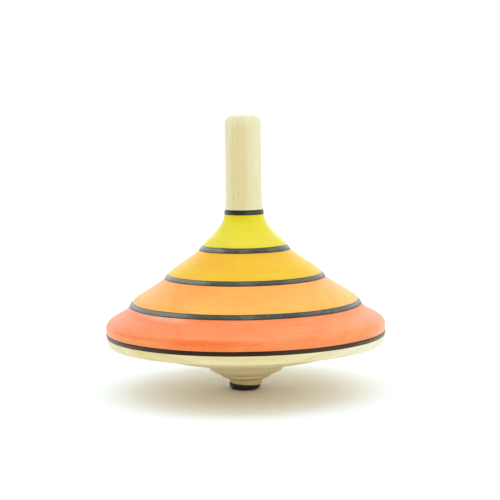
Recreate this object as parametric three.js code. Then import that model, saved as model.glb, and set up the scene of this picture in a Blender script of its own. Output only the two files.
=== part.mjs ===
// Hand-spun wooden top, in millimetres, +Z up.
// The origin is on the spin axis, where the flat foot of the tip meets the table.
//
// Three turned pieces are glued together: a wide disc body with a trumpet-shaped neck, a dowel
// stem whose tenon sits in the neck, and a hard black tip whose shank sits under the body.
// The body is then stained in four bands, and black lacquer lines fill the turned grooves
// between them. Each band and line is a thin ring that covers the wood exactly.

import * as THREE from 'three';

// ---- Driving dimensions ----

const SEGMENTS = 40;            // facets round the axis
const BAND_STEPS = 6;           // straight steps along a long curve
const SMALL_STEPS = 3;          // straight steps along a short curve
const FINISH_DEPTH = 0.3;       // how far stain and lacquer go into the wood
const GLUE_GAP = 0.1;           // between a tenon or shank and its socket
const SAME_POINT = 1e-6;        // outline points closer than this are one point

const TOP_HEIGHT = 58.8;
const STEM_RADIUS = 3.82;
const STEM_END_ROUNDING = 1.5;
const STEM_FLARE_HEIGHT = 42;   // below this the stem widens towards the neck
const STEM_FLARE_CORNER = [3.87, 40];
const TENON_RADIUS = 2.5;
const TENON_LENGTH = 12;
const TENON_CHAMFER = 0.4;

const TIP_RADIUS = 3.35;
const TIP_THICKNESS = 1.25;
const FOOT_ROUNDING = 0.85;
const SHANK_RADIUS = 1.75;
const SHANK_LENGTH = 6.75;

// Edges of the five lacquer lines on the outline, as [radius, height].
const RIM_LINE = { low: [29.9, 12.03], high: [29.95, 12.96] };
const LOWER_LINE = { low: [24.95, 18.46], high: [24.22, 19.45] };
const MIDDLE_LINE = { low: [17.29, 24.27], high: [16.52, 25.24] };
const UPPER_LINE = { low: [9.87, 30.2], high: [8.94, 31.27] };
const NECK_LINE = { low: [4.22, 37.78], high: [4.08, 38.85] };

// The widest place of the disc, and where its rounded shoulder runs out into the slope.
const GIRTH = [30, 13.9];
const SHOULDER_END = [26.4, 17];
// Where the neck's hollow flare turns into the slope above the upper line.
const FLARE_END = [7.2, 33.05];
// How far each band keeps the steeper slope of the line beside it before it eases off.
const LEAD = 1.4;
const SHORT_LEAD = 0.9;

// Underside: rim corner, shallow cone, and a boss of three turned beads.
const RIM_WALL_FOOT = [29.65, 10.8];
const RIM_CORNER = [29.6, 10.25];
const CONE_EDGE = [29.1, 10.15];
const BOSS_ROOT = [9.4, 6.2];
const BOSS_SHOULDER = [8.05, 4.7];
const OUTER_CREASE = [5.85, 3.48];
const INNER_CREASE = [3.95, 2.33];
const BOSS_FOOT = [3.3, TIP_THICKNESS];

const NECK_TOP = NECK_LINE.high[1];

// ---- Outline helpers: every point is a Vector2 of radius and height ----

const at = ([radius, height]) => new THREE.Vector2(radius, height);

function straight(from, to) {
  return [at(from), at(to)];
}

function bent(from, corner, to, steps = SMALL_STEPS) {
  return new THREE.QuadraticBezierCurve(at(from), at(corner), at(to)).getPoints(steps);
}

function swept(from, handleFrom, handleTo, to, steps = BAND_STEPS) {
  return new THREE.CubicBezierCurve(at(from), at(handleFrom), at(handleTo), at(to)).getPoints(steps);
}

// A quarter circle about `centre`, from `start` to the next quarter anticlockwise.
function rounded(centre, radius, start, steps) {
  const end = start + Math.PI / 2;
  return new THREE.EllipseCurve(...centre, radius, radius, start, end).getPoints(steps);
}

// The point that lies `distance` beyond `line`'s low end (or its high end, when negative),
// along the line's own slope.
function alongLine(line, distance) {
  const low = at(line.low);
  const high = at(line.high);
  const downward = low.clone().sub(high).normalize();
  const start = distance > 0 ? low : high;
  const point = start.clone().addScaledVector(downward, distance);
  return [point.x, point.y];
}

// A band between two lines leaves each line at that line's slope.
function slope(lineBelow, lineAbove) {
  return swept(lineBelow.high, alongLine(lineBelow, -LEAD), alongLine(lineAbove, LEAD), lineAbove.low);
}

// Joins stretches that share their end points into one outline.
function join(...stretches) {
  const points = [];
  for (const point of stretches.flat()) {
    const last = points.at(-1);
    if (!last || last.distanceTo(point) > SAME_POINT) {
      points.push(point);
    }
  }
  return points;
}

// ---- The finished surface, from the rim up to the neck, one stretch for each finish ----

const redOutline = join(
  straight(RIM_LINE.high, GIRTH),
  swept(GIRTH, [30, 15.3], [28.75, 15.8], SHOULDER_END),
  swept(SHOULDER_END, [25.9, 17.3], alongLine(LOWER_LINE, SHORT_LEAD), LOWER_LINE.low, SMALL_STEPS),
);

const yellowOutline = join(
  bent(UPPER_LINE.high, [8.4, 32.2], FLARE_END),
  swept(FLARE_END, [6, 34.2], [4.4, 36], NECK_LINE.low),
);

const finishes = [
  { name: 'rim_line', finish: 'lacquer', outline: straight(RIM_LINE.low, RIM_LINE.high) },
  { name: 'red_band', finish: 'redStain', outline: redOutline },
  { name: 'lower_line', finish: 'lacquer', outline: straight(LOWER_LINE.low, LOWER_LINE.high) },
  { name: 'orange_band', finish: 'orangeStain', outline: slope(LOWER_LINE, MIDDLE_LINE) },
  { name: 'middle_line', finish: 'lacquer', outline: straight(MIDDLE_LINE.low, MIDDLE_LINE.high) },
  { name: 'amber_band', finish: 'amberStain', outline: slope(MIDDLE_LINE, UPPER_LINE) },
  { name: 'upper_line', finish: 'lacquer', outline: straight(UPPER_LINE.low, UPPER_LINE.high) },
  { name: 'yellow_band', finish: 'yellowStain', outline: yellowOutline },
  { name: 'neck_line', finish: 'lacquer', outline: straight(NECK_LINE.low, NECK_LINE.high) },
];

const surface = join(...finishes.map(({ outline }) => outline));

// The bare wood under the finishes: each surface point moved inwards, square to the surface.
// The first and last points move level, so that the finishes end on level faces.
function inwards(points, index) {
  if (index === 0 || index === points.length - 1) {
    return new THREE.Vector2(-1, 0);
  }
  const before = points[index].clone().sub(points[index - 1]).normalize();
  const after = points[index + 1].clone().sub(points[index]).normalize();
  const along = before.add(after).normalize();
  return new THREE.Vector2(-along.y, along.x);
}

const woodUnder = surface.map((point, index) => (
  point.clone().addScaledVector(inwards(surface, index), FINISH_DEPTH)
));

// ---- Materials ----

const materials = {
  wood: new THREE.MeshStandardMaterial({ color: 0xe3d7a8, roughness: 0.55, metalness: 0 }),
  yellowStain: new THREE.MeshStandardMaterial({ color: 0xeadc2f, roughness: 0.45, metalness: 0 }),
  amberStain: new THREE.MeshStandardMaterial({ color: 0xfcc841, roughness: 0.45, metalness: 0 }),
  orangeStain: new THREE.MeshStandardMaterial({ color: 0xfcb964, roughness: 0.45, metalness: 0 }),
  redStain: new THREE.MeshStandardMaterial({ color: 0xff9969, roughness: 0.45, metalness: 0 }),
  lacquer: new THREE.MeshStandardMaterial({ color: 0x2e2c29, roughness: 0.3, metalness: 0 }),
  blackWood: new THREE.MeshStandardMaterial({ color: 0x1f1b17, roughness: 0.4, metalness: 0 }),
};

// Turns an outline round +Z. It starts and ends on the axis, or closes on itself.
function turned(name, outline, material) {
  const geometry = new THREE.LatheGeometry(outline, SEGMENTS);
  geometry.rotateX(Math.PI / 2);
  const mesh = new THREE.Mesh(geometry, material);
  mesh.name = name;
  return mesh;
}

// ---- Pieces ----

function finishRing({ name, finish, outline }) {
  const first = surface.findIndex((point) => point.distanceTo(outline[0]) < SAME_POINT);
  const outside = surface.slice(first, first + outline.length);
  const inside = woodUnder.slice(first, first + outline.length).reverse();
  return turned(name, [...outside, ...inside, outside[0]], materials[finish]);
}

function body() {
  const shankSocketRadius = SHANK_RADIUS + GLUE_GAP;
  const shankSocketTop = TIP_THICKNESS + SHANK_LENGTH + GLUE_GAP;
  const tenonSocketRadius = TENON_RADIUS + GLUE_GAP;
  const tenonSocketFloor = NECK_TOP - TENON_LENGTH - GLUE_GAP;

  const shankSocket = [
    at([0, shankSocketTop]),
    at([shankSocketRadius, shankSocketTop]),
    at([shankSocketRadius, TIP_THICKNESS]),
  ];
  const boss = join(
    bent(BOSS_FOOT, [3.55, 2.05], INNER_CREASE),
    bent(INNER_CREASE, [5.5, 2.68], OUTER_CREASE),
    bent(OUTER_CREASE, [7.65, 3.9], BOSS_SHOULDER),
    bent(BOSS_SHOULDER, [8.3, 5.9], BOSS_ROOT),
  );
  const cone = swept(BOSS_ROOT, [17, 6.6], [22, 9], CONE_EDGE);
  const rim = join(bent(CONE_EDGE, RIM_CORNER, RIM_WALL_FOOT), straight(RIM_WALL_FOOT, RIM_LINE.low));
  const tenonSocket = [
    at([tenonSocketRadius, NECK_TOP]),
    at([tenonSocketRadius, tenonSocketFloor]),
    at([0, tenonSocketFloor]),
  ];
  return turned('body', join(shankSocket, boss, cone, rim, woodUnder, tenonSocket), materials.wood);
}

function stem() {
  const tenonEnd = NECK_TOP - TENON_LENGTH;
  const roundingFoot = TOP_HEIGHT - STEM_END_ROUNDING;
  const outline = join(
    straight([0, tenonEnd], [TENON_RADIUS - TENON_CHAMFER, tenonEnd]),
    straight([TENON_RADIUS, tenonEnd + TENON_CHAMFER], [TENON_RADIUS, NECK_TOP]),
    bent(NECK_LINE.high, STEM_FLARE_CORNER, [STEM_RADIUS, STEM_FLARE_HEIGHT]),
    rounded([STEM_RADIUS - STEM_END_ROUNDING, roundingFoot], STEM_END_ROUNDING, 0, SMALL_STEPS + 1),
    [at([0, TOP_HEIGHT])],
  );
  return turned('stem', outline, materials.wood);
}

function tip() {
  const shankTop = TIP_THICKNESS + SHANK_LENGTH;
  const outline = join(
    [at([0, 0])],
    rounded([TIP_RADIUS - FOOT_ROUNDING, FOOT_ROUNDING], FOOT_ROUNDING, -Math.PI / 2, SMALL_STEPS),
    straight([TIP_RADIUS, TIP_THICKNESS], [SHANK_RADIUS, TIP_THICKNESS]),
    straight([SHANK_RADIUS, shankTop], [0, shankTop]),
  );
  return turned('tip', outline, materials.blackWood);
}

const top = new THREE.Group();
top.add(stem(), body(), tip());
top.add(...finishes.map(finishRing));

export default top;
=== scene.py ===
"""Looks for the wooden spinning top: fine turned meshes and procedural materials.

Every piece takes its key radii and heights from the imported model's nodes. The curves between
them repeat the outline of the CAD source. Lengths are in metres, but for the camera's lens and
the points that at() and blot() are given, which are in millimetres.
"""

import math

import bpy
import numpy as np
from mathutils import Matrix, Vector


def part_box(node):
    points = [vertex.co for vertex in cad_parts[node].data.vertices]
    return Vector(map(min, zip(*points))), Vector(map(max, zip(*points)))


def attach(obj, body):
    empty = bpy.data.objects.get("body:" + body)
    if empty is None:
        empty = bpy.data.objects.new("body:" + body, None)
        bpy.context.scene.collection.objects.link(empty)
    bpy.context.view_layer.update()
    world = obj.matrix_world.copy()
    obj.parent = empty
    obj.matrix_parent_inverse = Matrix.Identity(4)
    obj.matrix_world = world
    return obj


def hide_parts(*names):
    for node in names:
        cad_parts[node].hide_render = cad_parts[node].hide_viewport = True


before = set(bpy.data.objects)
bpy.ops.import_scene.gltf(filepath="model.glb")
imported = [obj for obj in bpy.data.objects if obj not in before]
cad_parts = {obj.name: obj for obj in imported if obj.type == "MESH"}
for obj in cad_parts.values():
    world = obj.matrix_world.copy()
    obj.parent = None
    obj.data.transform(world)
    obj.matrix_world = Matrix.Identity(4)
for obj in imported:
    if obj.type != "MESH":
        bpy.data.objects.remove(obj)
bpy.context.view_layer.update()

MM = 0.001

# ---- Camera: a little above the rim, a forearm's length away ----

CAMERA_HEIGHT = 59.6 * MM
CAMERA_DISTANCE = 306.2 * MM
CAMERA_PITCH = math.radians(5.517)
CAMERA_YAW = math.radians(-0.216)
CAMERA_ROLL = math.radians(-0.9)
LENS = 103.2                  # this and the sensor's width are in millimetres
SENSOR = 36.0

# ---- Meshes ----

AROUND = 192                  # columns of faces round the body
AROUND_STEM = 128
AROUND_TIP = 96
SHARP_ANGLE = math.radians(42)
FINISH_DEPTH = 0.28 * MM      # thickness of stain and lacquer, just short of the bare wood
WOOD_DEPTH = 0.30 * MM        # how far the bare wood lies under the finished surface
EDGE_DIP = 0.04 * MM          # how far a band rounds over where it meets a lacquer line
EDGE_WIDTH = 0.22 * MM        # width of that rounding
LINE_SWELL = 0.12 * MM        # how far the middle of a lacquer line rises over its edges
STRAY = 0.03 * MM             # how far a line's edge strays from a true circle
STRAY_WAVES = (3, 5, 8, 13, 21, 34)
STRAY_SEED = 40
RIPPLE = 0.012 * MM           # height of the tool's rings on the turned surface
RIPPLE_PITCH = 0.9 * MM
CONE_RIPPLE = 1.5             # the rings on the underside are this many times higher
CROWDING = 0.8                # how much closer a finish's rows stand near its edges: 0 is even
FINE_STEPS = 120              # steps of a curve that is resampled afterwards
BAND_SPACING = 0.14 * MM      # between the rows of a band, of the cone and of the hidden wood
CONE_SPACING = 0.16 * MM
HIDDEN_SPACING = 0.8 * MM
LINE_STEPS = 12
BEAD_STEPS = 14
RIM_CORNER_STEPS = 12
RIM_WALL_STEPS = 8
STEM_FLARE_STEPS = 24
STEM_STEPS = 60
STEM_END_STEPS = 12
FOOT_STEPS = 14

FINISHES = (
    "rim_line", "red_band", "lower_line", "orange_band", "middle_line",
    "amber_band", "upper_line", "yellow_band", "neck_line",
)


def make_camera():
    camera = bpy.data.objects.new("camera", bpy.data.cameras.new("camera"))
    bpy.context.scene.collection.objects.link(camera)
    camera.data.lens = LENS
    camera.data.sensor_width = SENSOR
    camera.data.clip_start = 0.01
    camera.data.clip_end = 100.0
    turn = Matrix.Rotation(CAMERA_YAW, 4, "Z")
    tilt = Matrix.Rotation(math.pi / 2 - CAMERA_PITCH, 4, "X")
    roll = Matrix.Rotation(CAMERA_ROLL, 4, "Z")
    place = Matrix.Translation((0.0, -CAMERA_DISTANCE, CAMERA_HEIGHT))
    camera.matrix_world = place @ turn @ tilt @ roll
    bpy.context.scene.camera = camera


# ---- Outlines: rows of (radius, height) ----

def at(radius, height):
    """A point of an outline, given in millimetres."""
    return np.array([radius, height]) * MM


def bezier(points, steps):
    """A Bezier curve of any degree through its first and last control points."""
    degree = len(points) - 1
    t = np.linspace(0.0, 1.0, steps + 1)[:, None]
    total = 0.0
    for k, point in enumerate(points):
        total = total + math.comb(degree, k) * (1 - t) ** (degree - k) * t ** k * point
    return total


def rounded(centre, radius, start, steps):
    """A quarter circle about `centre`, from `start` to the next quarter anticlockwise."""
    angle = np.linspace(start, start + math.pi / 2, steps + 1)
    return np.column_stack([
        centre[0] + radius * np.cos(angle),
        centre[1] + radius * np.sin(angle),
    ])


def join(*stretches):
    """One outline out of stretches that share their end points."""
    rows = [np.asarray(stretches[0])]
    for stretch in stretches[1:]:
        rows.append(np.asarray(stretch)[1:])
    return np.vstack(rows)


def lengths(outline):
    """Distance along the outline at each of its points."""
    steps = np.linalg.norm(np.diff(outline, axis=0), axis=1)
    return np.concatenate([[0.0], np.cumsum(steps)])


def resample(outline, spacing):
    along = lengths(outline)
    count = max(2, int(round(along[-1] / spacing)) + 1)
    wanted = np.linspace(0.0, along[-1], count)
    return np.column_stack([np.interp(wanted, along, outline[:, k]) for k in (0, 1)])


def outward(outline):
    """Unit normals of an outline that runs upwards with the wood on its axis side."""
    tangent = np.gradient(outline, axis=0)
    tangent /= np.linalg.norm(tangent, axis=1)[:, None]
    return np.column_stack([tangent[:, 1], -tangent[:, 0]])


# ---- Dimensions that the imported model's boxes don't give ----

STEM_RADIUS = 3.82 * MM
STEM_END_ROUNDING = 1.5 * MM
STEM_FLARE_CORNER = at(3.87, 40.0)
STEM_FLARE_END = at(3.82, 42.0)
TENON_RADIUS = 2.5 * MM
TENON_CHAMFER = 0.4 * MM
SHANK_RADIUS = 1.75 * MM
FOOT_ROUNDING = 0.85 * MM
GLUE_GAP = 0.1 * MM

BOSS_FOOT_RADIUS = 3.3 * MM
INNER_CREASE = at(3.95, 2.33)
OUTER_CREASE = at(5.85, 3.48)
BOSS_SHOULDER = at(8.05, 4.7)
BOSS_ROOT = at(9.4, 6.2)
CONE_EDGE = at(29.1, 10.15)
RIM_WALL_FOOT = at(29.65, 10.8)

GIRTH = np.array([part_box("red_band")[1].x, 13.9 * MM])
SHOULDER_END = at(26.4, 17.0)
FLARE_END = at(7.2, 33.05)
LEAD = 1.4 * MM               # how far a band keeps the slope of the line beside it
SHORT_LEAD = 0.9 * MM

SEAT_TILT = -0.055            # rise of the joint between wood and tip for each step along X
BOSS_LEAN = -0.15 * MM        # how far the boss leans off the axis at its foot
TIP_OFFSET = -0.39 * MM       # how far the tip's disc sits off the axis


# ---- The finished surface, from the rim line up to the neck line ----

def finish_edges():
    """The edges between the finishes, from the frame: ten points from the rim up to the neck."""
    edges = [np.array([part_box("body")[1].x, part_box("rim_line")[0].z])]
    edges.append(np.array([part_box("rim_line")[1].x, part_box("rim_line")[1].z]))
    for below, above in zip(FINISHES[1:], FINISHES[2:]):
        edges.append(np.array([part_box(above)[1].x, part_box(below)[1].z]))
    edges.append(np.array([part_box("stem")[1].x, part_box("neck_line")[1].z]))
    return edges


EDGES = finish_edges()


def beyond(low, high, distance):
    """A point past a line's low end, or past its high end when distance is negative."""
    downward = (low - high) / np.linalg.norm(low - high)
    return (low if distance > 0 else high) + downward * distance


def slope(below, above):
    """The stretch between two lines. It leaves each line at that line's own slope."""
    lead_up = beyond(*below, -LEAD)
    lead_down = beyond(*above, LEAD)
    return bezier([below[1], lead_up, lead_down, above[0]], FINE_STEPS)


def surface_stretches():
    """The outline of each finish, in the order of FINISHES."""
    rim, lower, middle, upper, neck = zip(EDGES[::2], EDGES[1::2])
    red = join(
        bezier([rim[1], GIRTH], FINE_STEPS),
        bezier([GIRTH, at(30.0, 15.3), at(28.75, 15.8), SHOULDER_END], FINE_STEPS),
        bezier([SHOULDER_END, at(25.9, 17.3), beyond(*lower, SHORT_LEAD), lower[0]], FINE_STEPS),
    )
    yellow = join(
        bezier([upper[1], at(8.4, 32.2), FLARE_END], FINE_STEPS),
        bezier([FLARE_END, at(6.0, 34.2), at(4.4, 36.0), neck[0]], FINE_STEPS),
    )
    return [
        bezier(rim, FINE_STEPS), red,
        bezier(lower, FINE_STEPS), slope(lower, middle),
        bezier(middle, FINE_STEPS), slope(middle, upper),
        bezier(upper, FINE_STEPS), yellow,
        bezier(neck, FINE_STEPS),
    ]


STRETCHES = surface_stretches()
SURFACE = join(*STRETCHES)
SURFACE_ALONG = lengths(SURFACE)
SURFACE_NORMALS = outward(SURFACE)
EDGE_ALONG = np.concatenate([[0.0], np.cumsum([lengths(s)[-1] for s in STRETCHES])])


def on_surface(along, lift):
    """Points of the finished surface at distances along it, lifted along the normal."""
    point = [np.interp(along, SURFACE_ALONG, SURFACE[:, k]) for k in (0, 1)]
    normal = [np.interp(along, SURFACE_ALONG, SURFACE_NORMALS[:, k]) for k in (0, 1)]
    size = np.hypot(*normal)
    return point[0] + lift * normal[0] / size, point[1] + lift * normal[1] / size


def wander(number, theta):
    """How far a hand-guided edge strays along the outline, for each direction round the axis."""
    draw = np.random.default_rng(STRAY_SEED + number)
    stray = np.zeros_like(theta)
    for waves in STRAY_WAVES:
        height = draw.normal() / waves ** 0.6
        stray += height * np.cos(waves * theta + draw.uniform(0, 2 * math.pi))
    return STRAY * stray


def tool_rings(along):
    """The slight ridges that a turning tool leaves, as a height over the outline. Both their
    pitch and their height vary a little."""
    drift = 1.7 * np.sin(along / (2.3 * MM))
    wave = np.cos(2 * math.pi * along / RIPPLE_PITCH + drift)
    strength = 0.6 + 0.4 * np.sin(along / (1.1 * MM))
    return RIPPLE * wave * strength


# ---- Mesh building ----

def make_piece(name, rows, closed, material, node):
    """A turned solid. rows is (steps, around, 3); closed joins the last row to the first,
    and an open one has its first and last rows drawn together on the axis."""
    steps, around = rows.shape[:2]
    vertices = []
    index = np.zeros((steps, around), int)
    for i in range(steps):
        on_axis = not closed and i in (0, steps - 1)
        if on_axis:
            index[i] = len(vertices)
            vertices.append(rows[i].mean(axis=0))
        else:
            index[i] = len(vertices) + np.arange(around)
            vertices.extend(rows[i])
    faces = []
    for i in range(steps if closed else steps - 1):
        low = index[i]
        high = index[(i + 1) % steps]
        for j in range(around):
            k = (j + 1) % around
            corners = [low[j], low[k], high[k], high[j]]
            faces.append([c for n, c in enumerate(corners) if c not in corners[:n]])
    mesh = bpy.data.meshes.new(name)
    mesh.from_pydata([tuple(v) for v in vertices], [], [[int(c) for c in f] for f in faces])
    mesh.shade_smooth()
    mesh.set_sharp_from_angle(angle=SHARP_ANGLE)
    mesh.materials.append(material)
    piece = bpy.data.objects.new(name, mesh)
    bpy.context.scene.collection.objects.link(piece)
    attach(piece, "root")
    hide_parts(node)
    return piece


def mark_crown(piece, steps):
    """Stores how near each point of a lacquer line is to the middle of its width."""
    shares = crowded(steps)
    heights = crown(np.concatenate([shares, shares[::-1]]))
    attribute = piece.data.attributes.new("crown", "FLOAT", "POINT")
    attribute.data.foreach_set("value", np.repeat(heights, AROUND))


def revolve(outline, around):
    """The rows of a plain turned outline."""
    theta = np.arange(around) * 2 * math.pi / around
    rows = np.zeros((len(outline), around, 3))
    rows[:, :, 0] = outline[:, 0, None] * np.cos(theta)
    rows[:, :, 1] = outline[:, 0, None] * np.sin(theta)
    rows[:, :, 2] = outline[:, 1, None]
    return rows


def crown(share):
    """The rounded section of a lacquer line: 0 at its edges and 1 at its middle."""
    return 1 - (2 * share - 1) ** 2


def skin_height(line, along, first, last):
    """How far the outer skin of a band or line stands off the true outline."""
    if line:
        return LINE_SWELL * crown((along - first) / (last - first)) - EDGE_DIP
    to_edge = np.minimum(along - first, last - along)
    dip = EDGE_DIP * np.clip(1 - to_edge / EDGE_WIDTH, 0, 1) ** 2
    return tool_rings(along) * np.clip(to_edge / EDGE_WIDTH, 0, 1) - dip


def crowded(steps):
    """Shares from 0 to 1 that stand closer together near both ends."""
    even = np.linspace(0.0, 1.0, steps + 1)
    return even - CROWDING * np.sin(2 * math.pi * even) / (2 * math.pi)


def finish_rows(number, steps, line):
    """Rows of one band or line: its outer skin upwards, then its inner skin back down."""
    theta = np.arange(AROUND) * 2 * math.pi / AROUND
    edges = []
    for edge in (number, number + 1):
        outermost = edge in (0, len(FINISHES))
        edges.append(EDGE_ALONG[edge] + (np.zeros(AROUND) if outermost else wander(edge, theta)))
    first, last = edges
    shares = crowded(steps)
    rows = []
    for inner, ordered in ((False, shares), (True, shares[::-1])):
        for share in ordered:
            along = first + (last - first) * share
            lift = -FINISH_DEPTH if inner else skin_height(line, along, first, last)
            radius, height = on_surface(along, lift)
            rows.append(np.column_stack([radius * np.cos(theta), radius * np.sin(theta), height]))
    return np.array(rows)


# ---- Node helpers ----

def srgb(red, green, blue):
    """Linear colour from screen values of 0 to 255."""
    out = []
    for value in (red, green, blue):
        share = value / 255
        out.append(share / 12.92 if share <= 0.04045 else ((share + 0.055) / 1.055) ** 2.4)
    return (*out, 1.0)


class Tree:
    """A short way to write a node tree."""

    def __init__(self, tree):
        self.tree = tree

    def add(self, kind, inputs=None, **settings):
        node = self.tree.nodes.new(kind)
        for key, value in settings.items():
            setattr(node, key, value)
        for key, value in (inputs or {}).items():
            self.put(node.inputs[key], value)
        return node

    def put(self, socket, value):
        if isinstance(value, bpy.types.NodeSocket):
            self.tree.links.new(value, socket)
        else:
            socket.default_value = value

    def math(self, operation, first, second=0.0):
        return self.add("ShaderNodeMath", {0: first, 1: second}, operation=operation).outputs[0]

    def product(self, first, *others):
        for other in others:
            first = self.math("MULTIPLY", first, other)
        return first

    def largest(self, first, *others):
        for other in others:
            first = self.math("MAXIMUM", first, other)
        return first

    def vector(self, operation, first, second=(0.0, 0.0, 0.0)):
        node = self.add("ShaderNodeVectorMath", {0: first, 1: second}, operation=operation)
        return node.outputs["Value" if operation in ("LENGTH", "DISTANCE") else "Vector"]

    def split(self, vector):
        return self.add("ShaderNodeSeparateXYZ", {"Vector": vector}).outputs

    def ramp(self, value, low, high, to_low=0.0, to_high=1.0, smooth=False):
        node = self.add(
            "ShaderNodeMapRange",
            {
                "Value": value, "From Min": low, "From Max": high,
                "To Min": to_low, "To Max": to_high,
            },
            interpolation_type="SMOOTHSTEP" if smooth else "LINEAR",
        )
        return node.outputs["Result"]

    def mix(self, share, first, second, blend="MIX"):
        node = self.add("ShaderNodeMix", data_type="RGBA", blend_type=blend)
        self.put(node.inputs[0], share)
        self.put(node.inputs[6], first)
        self.put(node.inputs[7], second)
        return node.outputs[2]


class Nodes(Tree):
    """The nodes of one material, with its shader."""

    def __init__(self, name):
        self.material = bpy.data.materials.new(name)
        self.material.use_nodes = True
        super().__init__(self.material.node_tree)
        self.shader = self.tree.nodes["Principled BSDF"]
        self.place = self.add("ShaderNodeTexCoord").outputs["Object"]
        self.x, self.y, self.z = self.split(self.place)

    def stretched(self, scale):
        return self.vector("MULTIPLY", self.place, scale)

    def turned(self):
        """Radius and height, with a slow drift: a pattern in them runs round the axis."""
        radius = self.vector("LENGTH", self.stretched((1.0, 1.0, 0.0)))
        drift = self.math("MULTIPLY", self.x, 0.015)
        return self.add("ShaderNodeCombineXYZ", {"X": radius, "Y": self.z, "Z": drift}).outputs[0]

    def noise(self, vector, scale, detail=3.0, roughness=0.5, distortion=0.0):
        """Cloudy noise of 0 to 1. `scale` is the number of its blotches in a metre."""
        node = self.add(
            "ShaderNodeTexNoise",
            {
                "Vector": vector, "Scale": scale, "Detail": detail,
                "Roughness": roughness, "Distortion": distortion,
            },
        )
        return node.outputs["Fac"]

    def bump(self, height, strength, distance, under=None):
        inputs = {"Height": height, "Strength": strength, "Distance": distance}
        if under is not None:
            inputs["Normal"] = under
        return self.add("ShaderNodeBump", inputs).outputs["Normal"]

    def finish(self, color, roughness, normal, specular=0.5):
        self.put(self.shader.inputs["Base Color"], color)
        self.put(self.shader.inputs["Roughness"], roughness)
        self.put(self.shader.inputs["Normal"], normal)
        self.shader.inputs["Specular IOR Level"].default_value = specular
        return self.material


# ---- Wood ----

class Grain:
    """How one piece was cut from the tree: `along` squeezes a pattern's coordinates so that it
    runs out into long streaks, `across` drops the grain's own direction, and `pith` is the heart
    that the growth rings go round. `wobble` is how many rings' width they stray."""

    def __init__(self, along, across, pith, ring_spacing, wobble):
        self.along = along
        self.across = across
        self.pith = pith
        self.ring_spacing = ring_spacing
        self.wobble = wobble


PLANK = Grain(
    along=(0.06, 1.0, 1.0), across=(0.0, 1.0, 1.0), pith=(0.0, 7.0 * MM, -46.0 * MM),
    ring_spacing=2.1 * MM, wobble=3.2,
)
DOWEL = Grain(
    along=(1.0, 1.0, 0.09), across=(1.0, 1.0, 0.0), pith=(-33.4 * MM, 11.0 * MM, 0.0),
    ring_spacing=1.35 * MM, wobble=1.1,
)


def growth_rings(nodes, grain):
    """The late wood: 0 in the pale part of each ring, rising to where the ring ends."""
    from_pith = nodes.vector("SUBTRACT", nodes.place, grain.pith)
    distance = nodes.vector("LENGTH", nodes.vector("MULTIPLY", from_pith, grain.across))
    drift = nodes.noise(nodes.stretched(grain.along), 70.0, detail=1.0)
    even_count = nodes.math("DIVIDE", distance, grain.ring_spacing)
    count = nodes.math("ADD", even_count, nodes.product(drift, grain.wobble))
    share = nodes.math("FRACT", count)
    late = nodes.product(nodes.ramp(share, 0.3, 0.88), nodes.ramp(share, 1.0, 0.93))
    year = nodes.add(
        "ShaderNodeTexWhiteNoise", {"W": nodes.math("FLOOR", count)}, noise_dimensions="1D"
    )
    return nodes.product(late, nodes.ramp(year.outputs["Value"], 0.0, 1.0, 0.25, 1.0))


def fine_grain(nodes, grain):
    """Broad streaks, fine fibres, and sparse dark pores, each drawn out along the grain."""
    place = nodes.stretched(grain.along)
    streaks = nodes.noise(place, 800.0, detail=2.0, roughness=0.55, distortion=0.3)
    fibres = nodes.noise(place, 4300.0, detail=3.0, roughness=0.6)
    elsewhere = nodes.vector("ADD", place, (0.3, 0.1, 0.2))
    pores = nodes.ramp(nodes.noise(elsewhere, 2700.0), 0.64, 0.74)
    return streaks, fibres, pores


def wood_surface(nodes, fibres, pores, lathe, low, high):
    """Roughness and normal of cut wood: open pores over fibres over the tool's rings."""
    roughness = nodes.ramp(fibres, 0.3, 0.7, low, high)
    rings = nodes.bump(lathe, 0.3, 0.02 * MM)
    raised = nodes.bump(fibres, 0.25, 0.025 * MM, rings)
    return roughness, nodes.bump(pores, -0.4, 0.03 * MM, raised)


# painted light: the pale tone over the plank's ends
PAINTED_LIGHT_TONE = srgb(247, 249, 230)
UNDERSIDE = srgb(237, 220, 182)


def painted_light_at_ends(nodes):
    """Painted light: the plank's wood paler over its right end and a little of its left."""
    return nodes.largest(
        nodes.ramp(nodes.x, 10.0 * MM, 24.0 * MM, 0.0, 0.75),
        nodes.ramp(nodes.x, -22.0 * MM, -28.0 * MM, 0.0, 0.5),
    )


def painted_crease_shade(nodes):
    """Painted shade: the wood darkened just above the boss's two creases, and towards its foot."""
    inner_height = INNER_CREASE[1] + 0.17 * MM
    outer_height = OUTER_CREASE[1] + 0.1 * MM
    inner = nodes.math("ABSOLUTE", nodes.math("SUBTRACT", nodes.z, inner_height))
    outer = nodes.math("ABSOLUTE", nodes.math("SUBTRACT", nodes.z, outer_height))
    return nodes.largest(
        nodes.ramp(inner, 0.3 * MM, 0.08 * MM),
        nodes.ramp(outer, 0.25 * MM, 0.05 * MM, 0.0, 0.8),
        nodes.ramp(nodes.z, inner_height, 1.4 * MM, 0.0, 0.9),
    )


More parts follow.
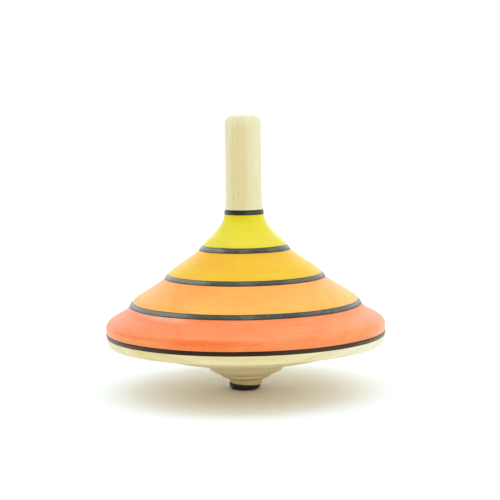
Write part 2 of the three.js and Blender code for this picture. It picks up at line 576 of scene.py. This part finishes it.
def bare_wood(name, grain, pale, warm, dark, ring_share, lathe_share, warm_tone_and_shade):
    """Sanded, unfinished wood, given where its tone goes over to the warm one. On the stem that
    warm tone is also painted shade.
    """
    nodes = Nodes(name)
    streaks, fibres, pores = fine_grain(nodes, grain)
    rings = growth_rings(nodes, grain)
    lathe = nodes.noise(nodes.turned(), 2400.0, detail=3.0)
    underside = nodes.ramp(nodes.z, 10.6 * MM, 9.0 * MM, smooth=True)
    # the warm tone, which on the stem is also painted shade on the side away from the light
    color = nodes.mix(nodes.product(warm_tone_and_shade(nodes), 0.8), pale, warm)
    # painted light over the plank's ends
    color = nodes.mix(painted_light_at_ends(nodes), color, PAINTED_LIGHT_TONE)
    color = nodes.mix(nodes.product(underside, 0.75), color, UNDERSIDE)
    color = nodes.mix(nodes.product(rings, ring_share), color, dark)
    color = nodes.mix(nodes.ramp(streaks, 0.5, 0.75, 0.0, 0.35), color, warm)
    color = nodes.mix(nodes.ramp(lathe, 0.5, 0.8, 0.0, lathe_share), color, dark)
    color = nodes.mix(nodes.ramp(fibres, 0.45, 0.8, 0.0, 0.25), color, dark)
    color = nodes.mix(nodes.product(pores, 0.35), color, dark, "MULTIPLY")
    # painted shade in the boss's creases and towards its foot
    color = nodes.mix(nodes.product(painted_crease_shade(nodes), 0.5), color, dark)
    roughness, normal = wood_surface(nodes, fibres, pores, lathe, 0.5, 0.64)
    return nodes.finish(color, roughness, normal, specular=0.15)


def heart_streak_and_painted_shade(nodes):
    """A warm streak down the stem, left of its middle: partly heartwood, partly painted shade on
    the side away from the light. It mostly fades below the top, which stays paler as painted
    light.
    """
    stray = nodes.noise(nodes.stretched(DOWEL.along), 420.0)
    ragged = nodes.math("ADD", nodes.x, nodes.ramp(stray, 0.3, 0.7, -0.4 * MM, 0.4 * MM))
    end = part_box("stem")[1].z
    return nodes.product(
        nodes.ramp(ragged, -3.8 * MM, -1.8 * MM, smooth=True),
        nodes.ramp(ragged, 2.2 * MM, -0.2 * MM, smooth=True),
        # painted light: the streak fades below the top, leaving the rounded end paler
        nodes.ramp(nodes.z, end - 1.0 * MM, end - 2.8 * MM, 0.25, 1.0, smooth=True),
    )


def in_clouds(nodes):
    """Broad, soft clouds of warmer wood, drawn out along the plank."""
    return nodes.ramp(nodes.noise(nodes.stretched(PLANK.along), 150.0, detail=1.0), 0.4, 0.68)


def make_stem_wood():
    return bare_wood(
        "stem_wood", DOWEL,
        pale=srgb(232, 228, 190), warm=srgb(221, 208, 150), dark=srgb(209, 182, 124),
        ring_share=0.24, lathe_share=0.06, warm_tone_and_shade=heart_streak_and_painted_shade,
    )


def make_body_wood():
    return bare_wood(
        "body_wood", PLANK,
        pale=srgb(236, 226, 175), warm=srgb(226, 210, 150), dark=srgb(207, 180, 124),
        ring_share=0.4, lathe_share=0.2, warm_tone_and_shade=in_clouds,
    )


# ---- Stains ----

SOAK = 0.7 * MM               # how far from a line's edge the stain runs deeper
# painted highlight: the pale pink where the red band catches the light
PAINTED_HIGHLIGHT_PINK = srgb(255, 240, 228)
PALE_FIBRE = srgb(255, 240, 190)


def blot(nodes, centre, radius):
    """A soft, ragged blot: 1 at its middle, 0 outside. `centre` is in millimetres."""
    centre = tuple(value * MM for value in centre)
    ragged = nodes.math(
        "ADD", nodes.vector("DISTANCE", nodes.place, centre),
        nodes.ramp(nodes.noise(nodes.place, 300.0), 0.3, 0.7, -0.3 * radius, 0.3 * radius),
    )
    return nodes.ramp(ragged, radius, 0.2 * radius, smooth=True)


def stain(name, node, upper, lower, deep, uneven, painted_highlight=None):
    """Stain that shows the wood's grain: deeper in late wood, in the tool's rings and beside
    the lacquer lines. `uneven` gives where this band took up more stain than elsewhere, and the
    last argument, when given, where a painted highlight pales it."""
    nodes = Nodes(name)
    low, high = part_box(node)[0].z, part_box(node)[1].z
    streaks, fibres, pores = fine_grain(nodes, PLANK)
    rings = growth_rings(nodes, PLANK)
    lathe = nodes.noise(nodes.turned(), 1900.0, detail=4.0, roughness=0.6)
    soaked = nodes.largest(
        nodes.ramp(nodes.z, low + SOAK, low), nodes.ramp(nodes.z, high - SOAK, high)
    )
    color = nodes.mix(nodes.ramp(nodes.z, low, high), lower, upper)
    color = nodes.mix(uneven(nodes), color, deep)
    color = nodes.mix(nodes.product(rings, 0.3), color, deep)
    color = nodes.mix(nodes.ramp(streaks, 0.5, 0.75, 0.0, 0.25), color, deep)
    color = nodes.mix(nodes.ramp(lathe, 0.5, 0.78, 0.0, 0.35), color, deep)
    color = nodes.mix(nodes.product(soaked, 0.25), color, deep)
    # painted highlight, where one is given
    if painted_highlight is not None:
        color = nodes.mix(painted_highlight(nodes), color, PAINTED_HIGHLIGHT_PINK)
    color = nodes.mix(nodes.ramp(fibres, 0.5, 0.8, 0.0, 0.12), color, PALE_FIBRE)
    color = nodes.mix(nodes.product(pores, 0.3), color, deep, "MULTIPLY")
    roughness, normal = wood_surface(nodes, fibres, pores, lathe, 0.36, 0.5)
    return nodes.finish(color, roughness, normal, specular=0.2)


def darker_to_left(nodes, share):
    """Darker towards the left: nothing at the right end, rising to `share` at the left end."""
    return nodes.ramp(nodes.x, 26.0 * MM, -26.0 * MM, 0.0, share)


def yellow_uneven(nodes):
    """Stain pooled under the neck line, left of the front."""
    return nodes.product(
        nodes.ramp(nodes.z, 35.4 * MM, 37.7 * MM, smooth=True),
        nodes.ramp(nodes.x, 2.6 * MM, -0.6 * MM, smooth=True),
        nodes.ramp(nodes.x, -3.6 * MM, -1.8 * MM, smooth=True),
    )


def amber_uneven(nodes):
    """A soaked strip under the upper line at the front, with a blot left of its middle."""
    strip = nodes.product(
        nodes.ramp(nodes.z, 28.2 * MM, 29.6 * MM, 0.0, 0.34, smooth=True),
        nodes.ramp(nodes.math("ABSOLUTE", nodes.x), 9.0 * MM, 6.0 * MM, smooth=True),
    )
    soaked = nodes.product(blot(nodes, (-5.8, -9.6, 28.8), 6.5 * MM), 0.5)
    return nodes.largest(soaked, strip)


def orange_uneven(nodes):
    """Darker towards the left, with a blot at the front left."""
    soaked = nodes.product(blot(nodes, (-11.5, -14.5, 22.9), 9.0 * MM), 0.6)
    return nodes.largest(soaked, darker_to_left(nodes, 0.4))


def red_uneven(nodes):
    """A soaked patch low on the rim, strongest at the front left, and a thin streak that runs on
    from it to the left. The shoulder above is darker towards the left, and painted shade darkens
    its right end."""
    stray = nodes.noise(nodes.stretched(PLANK.along), 900.0)
    height = nodes.math("ADD", nodes.z, nodes.ramp(stray, 0.3, 0.7, -0.15 * MM, 0.15 * MM))
    patch = nodes.product(
        nodes.ramp(height, 15.5 * MM, 14.7 * MM, smooth=True),
        nodes.ramp(height, 13.0 * MM, 14.5 * MM, 0.4, 1.0, smooth=True),
        nodes.ramp(nodes.x, 8.0 * MM, -6.0 * MM, 0.25, 1.0, smooth=True),
        nodes.ramp(nodes.x, -20.0 * MM, -12.0 * MM, smooth=True),
        nodes.ramp(nodes.x, 20.0 * MM, 12.0 * MM, smooth=True),
    )
    streak = nodes.product(
        nodes.ramp(height, 15.0 * MM, 14.7 * MM, smooth=True),
        nodes.ramp(height, 14.1 * MM, 14.5 * MM, 0.1, 1.0, smooth=True),
        nodes.ramp(nodes.x, -29.0 * MM, -25.0 * MM, smooth=True),
        nodes.ramp(nodes.x, -9.0 * MM, -15.0 * MM, smooth=True),
    )
    # painted shade: darker towards the shoulder's right end
    painted_shade_right_end = nodes.ramp(nodes.x, 22.0 * MM, 28.0 * MM, 0.0, 0.32)
    shoulder = nodes.product(
        nodes.ramp(nodes.z, 14.0 * MM, 16.0 * MM, smooth=True),
        nodes.largest(darker_to_left(nodes, 0.45), painted_shade_right_end),
    )
    return nodes.largest(nodes.product(patch, 0.85), nodes.product(streak, 0.5), shoulder)


def red_painted_highlight(nodes):
    """Painted highlight on a strip under the lower line on the left, and on the rim's two ends,
    the right one more.
    """
    strip = nodes.product(
        nodes.ramp(nodes.z, 17.1 * MM, 18.4 * MM, 0.0, 0.3, smooth=True),
        nodes.ramp(nodes.x, -21.5 * MM, -17.0 * MM, 0.5, 1.0, smooth=True),
        nodes.ramp(nodes.x, -10.0 * MM, -14.5 * MM, smooth=True),
        nodes.ramp(nodes.noise(nodes.stretched(PLANK.along), 1100.0), 0.35, 0.6, 0.7, 1.0),
    )
    outwards = nodes.ramp(nodes.math("ABSOLUTE", nodes.x), 24.0 * MM, 30.0 * MM)
    ends = nodes.product(
        outwards, outwards, nodes.ramp(nodes.z, 15.8 * MM, 13.2 * MM, 0.0, 0.5),
        nodes.ramp(nodes.x, -MM, MM, 0.55, 1.0),
        nodes.ramp(nodes.noise(nodes.place, 1100.0), 0.35, 0.6, 0.7, 1.0),
    )
    return nodes.largest(strip, ends)


def make_yellow_stain():
    return stain(
        "yellow_stain", "yellow_band", upper=srgb(230, 215, 36), lower=srgb(233, 213, 51),
        deep=srgb(214, 202, 0), uneven=yellow_uneven,
    )


def make_amber_stain():
    return stain(
        "amber_stain", "amber_band", upper=srgb(238, 189, 26), lower=srgb(238, 195, 32),
        deep=srgb(242, 165, 23), uneven=amber_uneven,
    )


def make_orange_stain():
    return stain(
        "orange_stain", "orange_band", upper=srgb(250, 174, 80), lower=srgb(251, 193, 85),
        deep=srgb(248, 149, 62), uneven=orange_uneven,
    )


def make_red_stain():
    return stain(
        "red_stain", "red_band", upper=srgb(246, 153, 98), lower=srgb(247, 153, 92),
        deep=srgb(245, 108, 40), uneven=red_uneven, painted_highlight=red_painted_highlight,
    )


# ---- Black finishes ----

# painted sheen: the grey that stands in for the lines' reflection of the light
PAINTED_SHEEN_GREY = srgb(120, 122, 111)
# painted highlight on the rim line
RIM_HIGHLIGHT_BROWN = srgb(150, 126, 100)


def painted_sheen_round_slope(nodes):
    """How much painted sheen the lines carry round the slope: most on the left, less on the right
    and at the very front, and least in between. Over 1, the sheen is whole even where it is thin."""
    radius = nodes.vector("LENGTH", nodes.stretched((1.0, 1.0, 0.0)))
    side = nodes.math("DIVIDE", nodes.x, radius)
    left = nodes.ramp(side, -0.34, -0.6, 0.5, 2.0, smooth=True)
    right = nodes.ramp(side, 0.36, 0.6, 0.46, 0.97, smooth=True)
    front = nodes.ramp(nodes.math("ABSOLUTE", side), 0.16, 0.02, 0.46, 0.85, smooth=True)
    return nodes.largest(left, right, front)


def painted_sheen_on_neck(nodes):
    """A little painted sheen on both sides of the neck line, and none on the others."""
    sides = nodes.largest(
        nodes.ramp(nodes.x, -0.2 * MM, 1.0 * MM, 0.0, 0.38),
        nodes.ramp(nodes.x, -2.2 * MM, -3.7 * MM, 0.0, 0.8),
    )
    return nodes.product(nodes.ramp(nodes.z, 36.0 * MM, 37.0 * MM), sides)


def rim_line_painted_highlight(nodes, mottle, middle):
    """Painted highlight on the line at the rim: along its crown at both sides, and lightly over
    its whole width on the right and the far left."""
    crest = nodes.product(
        nodes.ramp(nodes.math("ABSOLUTE", nodes.x), 17.0 * MM, 27.0 * MM, 0.0, 0.5),
        nodes.ramp(middle, 0.7, 1.0),
    )
    right = nodes.ramp(nodes.x, 3.0 * MM, 10.0 * MM, 0.0, 0.12)
    far_left = nodes.ramp(nodes.x, -13.0 * MM, -18.0 * MM, 0.0, 0.12)
    painted_highlight = nodes.largest(crest, right, far_left)
    return nodes.product(painted_highlight, nodes.ramp(mottle, 0.35, 0.6, 0.5, 1.0))


def make_black_lacquer():
    """Black lines with a painted grey sheen along their middles, most of it on the three on
    the slope. The wood shows brown through the thinner line at the rim, and painted highlights
    pale its sides."""
    nodes = Nodes("black_lacquer")
    streaks = nodes.noise(nodes.turned(), 5200.0, detail=3.0, roughness=0.6)
    clouds = nodes.noise(nodes.place, 480.0, detail=3.0, roughness=0.6)
    mottle = nodes.noise(nodes.stretched((1.0, 1.0, 2.5)), 1100.0, detail=3.0, roughness=0.7)
    specks = nodes.noise(nodes.place, 5200.0, detail=2.0)
    middle = nodes.add("ShaderNodeAttribute", attribute_name="crown").outputs["Fac"]
    above_rim = nodes.ramp(nodes.z, 13.5 * MM, 18.0 * MM)
    below_neck = nodes.ramp(nodes.z, 37.5 * MM, 32.0 * MM)
    on_slope = nodes.product(above_rim, below_neck, painted_sheen_round_slope(nodes))
    painted_sheen = nodes.product(
        nodes.math("ADD", on_slope, painted_sheen_on_neck(nodes)),
        nodes.ramp(clouds, 0.3, 0.7, 0.7, 1.0), nodes.ramp(streaks, 0.3, 0.65, 0.8, 1.0),
        nodes.ramp(mottle, 0.38, 0.62, 0.55, 1.0), nodes.ramp(middle, 0.15, 0.9, 0.15, 1.0),
    )
    speck = nodes.ramp(specks, 0.5, 0.75)
    thick = nodes.mix(speck, srgb(32, 34, 28), srgb(50, 53, 45))
    thin = nodes.mix(speck, srgb(36, 17, 2), srgb(62, 38, 20))
    # painted highlight on the rim line's sides
    thin = nodes.mix(rim_line_painted_highlight(nodes, mottle, middle), thin, RIM_HIGHLIGHT_BROWN)
    color = nodes.mix(above_rim, thin, thick)
    # painted sheen over the lines
    color = nodes.mix(painted_sheen, color, PAINTED_SHEEN_GREY)
    roughness = nodes.ramp(clouds, 0.3, 0.7, 0.26, 0.38)
    return nodes.finish(color, roughness, nodes.bump(streaks, 0.3, 0.02 * MM), specular=0.2)


def make_tip_black():
    """Black-stained hardwood, rubbed brown round the foot that it spins on."""
    nodes = Nodes("tip_black")
    streaks, fibres, pores = fine_grain(nodes, DOWEL)
    scuffs = nodes.noise(nodes.turned(), 4200.0, detail=4.0, roughness=0.7)
    rubbed = nodes.product(nodes.ramp(nodes.z, 0.4 * MM, 0.0), nodes.ramp(scuffs, 0.4, 0.65))
    color = nodes.mix(nodes.ramp(streaks, 0.4, 0.7), srgb(15, 17, 13), srgb(22, 22, 17))
    color = nodes.mix(nodes.product(rubbed, 0.8), color, srgb(64, 55, 39))
    roughness, normal = wood_surface(nodes, fibres, pores, scuffs, 0.32, 0.48)
    return nodes.finish(color, roughness, normal, specular=0.4)


# ---- Pieces ----

def make_finishes():
    lacquer = make_black_lacquer()
    stains = {
        "red_band": make_red_stain(),
        "orange_band": make_orange_stain(),
        "amber_band": make_amber_stain(),
        "yellow_band": make_yellow_stain(),
    }
    for number, node in enumerate(FINISHES):
        width = EDGE_ALONG[number + 1] - EDGE_ALONG[number]
        if node in stains:
            rows = finish_rows(number, int(width / BAND_SPACING), False)
            make_piece("stained_" + node, rows, True, stains[node], node)
        else:
            rows = finish_rows(number, LINE_STEPS, True)
            piece = make_piece("lacquer_" + node, rows, True, lacquer, node)
            mark_crown(piece, LINE_STEPS)


def tilt_seat(rows, still, seat):
    """Tips the joint between wood and tip: whole at the seat's height, none at `still`."""
    share = np.clip((rows[:, :, 2] - still) / (seat - still), 0.0, 1.0)
    rows[:, :, 2] += SEAT_TILT * rows[:, :, 0] * share


def lean_boss(rows, foot):
    """Shifts the boss sideways, most at its foot and not at all where it meets the cone."""
    root = BOSS_ROOT[1]
    rows[:, :, 0] += BOSS_LEAN * np.clip((root - rows[:, :, 2]) / (root - foot), 0.0, 1.0)


def boss_outline(boss_foot):
    """Three turned beads under a rounded shoulder."""
    return join(
        bezier([boss_foot, at(3.55, 2.05), INNER_CREASE], BEAD_STEPS),
        bezier([INNER_CREASE, at(5.5, 2.68), OUTER_CREASE], BEAD_STEPS),
        bezier([OUTER_CREASE, at(7.65, 3.9), BOSS_SHOULDER], BEAD_STEPS),
        bezier([BOSS_SHOULDER, at(8.3, 5.9), BOSS_ROOT], BEAD_STEPS),
    )


def cone_outline():
    """The shallow underside, with tool rings that fade out in the last millimetre at each end."""
    cone = bezier([BOSS_ROOT, at(17.0, 6.6), at(22.0, 9.0), CONE_EDGE], FINE_STEPS)
    cone = resample(cone, CONE_SPACING)
    along = lengths(cone)
    fade = np.clip(np.minimum(along, along[-1] - along) / MM, 0, 1)
    lift = CONE_RIPPLE * tool_rings(along) * fade
    return cone + outward(cone) * lift[:, None]


def rim_outline():
    """The rounded edge of the underside, and the low wall up to the rim line."""
    return join(
        bezier([CONE_EDGE, at(29.6, 10.25), RIM_WALL_FOOT], RIM_CORNER_STEPS),
        bezier([RIM_WALL_FOOT, EDGES[0]], RIM_WALL_STEPS),
    )


def wood_under_finishes():
    """The hidden surface of the wood. Its two ends are level with the ends of the finishes."""
    surface = resample(SURFACE, HIDDEN_SPACING)
    normals = outward(surface)
    normals[0] = normals[-1] = (1.0, 0.0)
    return surface - normals * WOOD_DEPTH


def make_body():
    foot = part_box("body")[0].z
    neck_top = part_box("body")[1].z
    boss_foot = np.array([BOSS_FOOT_RADIUS, foot])
    socket_radius = SHANK_RADIUS + GLUE_GAP
    socket_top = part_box("tip")[1].z + GLUE_GAP
    shank_socket = np.array([
        [0.0, socket_top], [socket_radius, socket_top], [socket_radius, foot], boss_foot,
    ])
    tenon_radius = TENON_RADIUS + GLUE_GAP
    tenon_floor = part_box("stem")[0].z - GLUE_GAP
    tenon_socket = np.array([
        [tenon_radius, neck_top], [tenon_radius, tenon_floor], [0.0, tenon_floor],
    ])
    underside = join(shank_socket, boss_outline(boss_foot), cone_outline(), rim_outline())
    outline = np.vstack([underside, wood_under_finishes(), tenon_socket])
    rows = revolve(outline, AROUND)
    # The shank socket stays on the axis, and only its mouth tilts with the boss's foot.
    mouth = 2
    lean_boss(rows[mouth + 1:], foot)
    tilt_seat(rows[mouth:], INNER_CREASE[1], foot)
    make_piece("turned_body", rows, False, make_body_wood(), "body")


def make_stem():
    low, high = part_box("stem")
    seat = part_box("neck_line")[1].z
    end_foot = np.array([STEM_RADIUS, high.z - STEM_END_ROUNDING])
    end_centre = end_foot - (STEM_END_ROUNDING, 0.0)
    shaft = join(
        bezier([np.array([high.x, seat]), STEM_FLARE_CORNER, STEM_FLARE_END], STEM_FLARE_STEPS),
        bezier([STEM_FLARE_END, end_foot], STEM_STEPS),
        rounded(end_centre, STEM_END_ROUNDING, 0.0, STEM_END_STEPS),
    )
    # A ring part of the way in keeps the faces of the flat end short.
    ring = STEM_RADIUS * 0.3
    outline = np.vstack([
        [[0.0, low.z], [TENON_RADIUS - TENON_CHAMFER, low.z]],
        [[TENON_RADIUS, low.z + TENON_CHAMFER], [TENON_RADIUS, seat]],
        shaft,
        [[ring, high.z], [0.0, high.z]],
    ])
    rows = revolve(outline, AROUND_STEM)
    make_piece("dowel_stem", rows, False, make_stem_wood(), "stem")


def make_tip():
    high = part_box("tip")[1]
    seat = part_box("body")[0].z
    centre = (high.x - FOOT_ROUNDING, FOOT_ROUNDING)
    foot = rounded(centre, FOOT_ROUNDING, -math.pi / 2, FOOT_STEPS)
    # A ring part of the way in keeps the faces of the flat foot short.
    ring = foot[0, 0] * 0.6
    outline = np.vstack([
        [[0.0, 0.0], [ring, 0.0]],
        foot,
        [[high.x, seat], [SHANK_RADIUS, seat], [SHANK_RADIUS, high.z], [0.0, high.z]],
    ])
    rows = revolve(outline, AROUND_TIP)
    # The last three rows are the shank, which stays on the axis. Its foot tilts with the disc.
    rows[:-3, :, 0] += TIP_OFFSET
    tilt_seat(rows[:-2], FOOT_ROUNDING / 2, seat)
    make_piece("black_tip", rows, False, make_tip_black(), "tip")


# ---- Studio ----

CEILING = (0.92, 1.06, 1.16, 1.0)
LEFT_WALL = (0.54, 0.50, 0.49, 1.0)
RIGHT_WALL = (0.99, 0.90, 0.75, 1.0)
FRONT_WALL = (1.19, 0.89, 0.74, 1.0)
BACK_WALL = (2.25, 2.41, 2.67, 1.0)
SWEEP = (1.03, 1.03, 1.02, 1.0)
# Sines of the elevations where the paper sweep gives way to the walls, and they to the ceiling.
SWEEP_TOP = (0.09, 0.16)
WALL_TOP = (0.35, 0.6)
SOFTBOX_SIZE = (3.0, 0.8)
SOFTBOX_PLACE = (0.0, 0.05, 1.5)
SOFTBOX_AIM = (0.0, 0.0, 0.02)
SOFTBOX_POWER = 6.2
FLOOR_RADIUS = 0.6
FLOOR_SIDES = 64


def make_floor():
    theta = np.arange(FLOOR_SIDES) * 2 * math.pi / FLOOR_SIDES
    rim = [(FLOOR_RADIUS * math.cos(a), FLOOR_RADIUS * math.sin(a), 0.0) for a in theta]
    mesh = bpy.data.meshes.new("floor")
    mesh.from_pydata(rim, [], [list(range(FLOOR_SIDES))])
    nodes = Nodes("floor_paper")
    tooth = nodes.noise(nodes.place, 900.0, detail=4.0)
    color = nodes.mix(nodes.ramp(tooth, 0.3, 0.7), srgb(252, 252, 250), srgb(254, 254, 252))
    normal = nodes.bump(tooth, 0.05, 0.02 * MM)
    mesh.materials.append(nodes.finish(color, 0.8, normal, specular=0.1))
    floor = bpy.data.objects.new("floor", mesh)
    bpy.context.scene.collection.objects.link(floor)


def make_softbox():
    data = bpy.data.lights.new("overhead_softbox", "AREA")
    data.shape = "RECTANGLE"
    data.size, data.size_y = SOFTBOX_SIZE
    data.energy = SOFTBOX_POWER
    light = bpy.data.objects.new("overhead_softbox", data)
    bpy.context.scene.collection.objects.link(light)
    light.location = SOFTBOX_PLACE
    aim = Vector(SOFTBOX_AIM) - Vector(SOFTBOX_PLACE)
    light.rotation_euler = aim.to_track_quat("-Z", "Y").to_euler()


def make_world():
    """A white sweep up to just above eye level, four soft walls over it, and a ceiling. A wall's
    share falls off as the square of the cosine round the room, so the four add up to one."""
    world = bpy.data.worlds.new("studio")
    world.use_nodes = True
    room = Tree(world.node_tree)
    direction = room.add("ShaderNodeTexCoord").outputs["Generated"]
    level = room.vector("NORMALIZE", room.vector("MULTIPLY", direction, (1.0, 1.0, 0.0)))
    x, y, _ = room.split(level)
    sideways = room.mix(room.math("GREATER_THAN", x, 0.0), LEFT_WALL, RIGHT_WALL)
    forwards = room.mix(room.math("GREATER_THAN", y, 0.0), FRONT_WALL, BACK_WALL)
    walls = room.mix(room.math("MULTIPLY", y, y), sideways, forwards)
    height = room.split(direction)["Z"]
    color = room.mix(room.ramp(height, *WALL_TOP), walls, CEILING)
    color = room.mix(room.ramp(height, *SWEEP_TOP), SWEEP, color)
    room.put(world.node_tree.nodes["Background"].inputs["Color"], color)
    bpy.context.scene.world = world


def make_studio():
    make_world()
    make_softbox()
    make_floor()
    bpy.context.scene.view_settings.view_transform = "Standard"


make_camera()
make_finishes()
make_body()
make_stem()
make_tip()
make_studio()
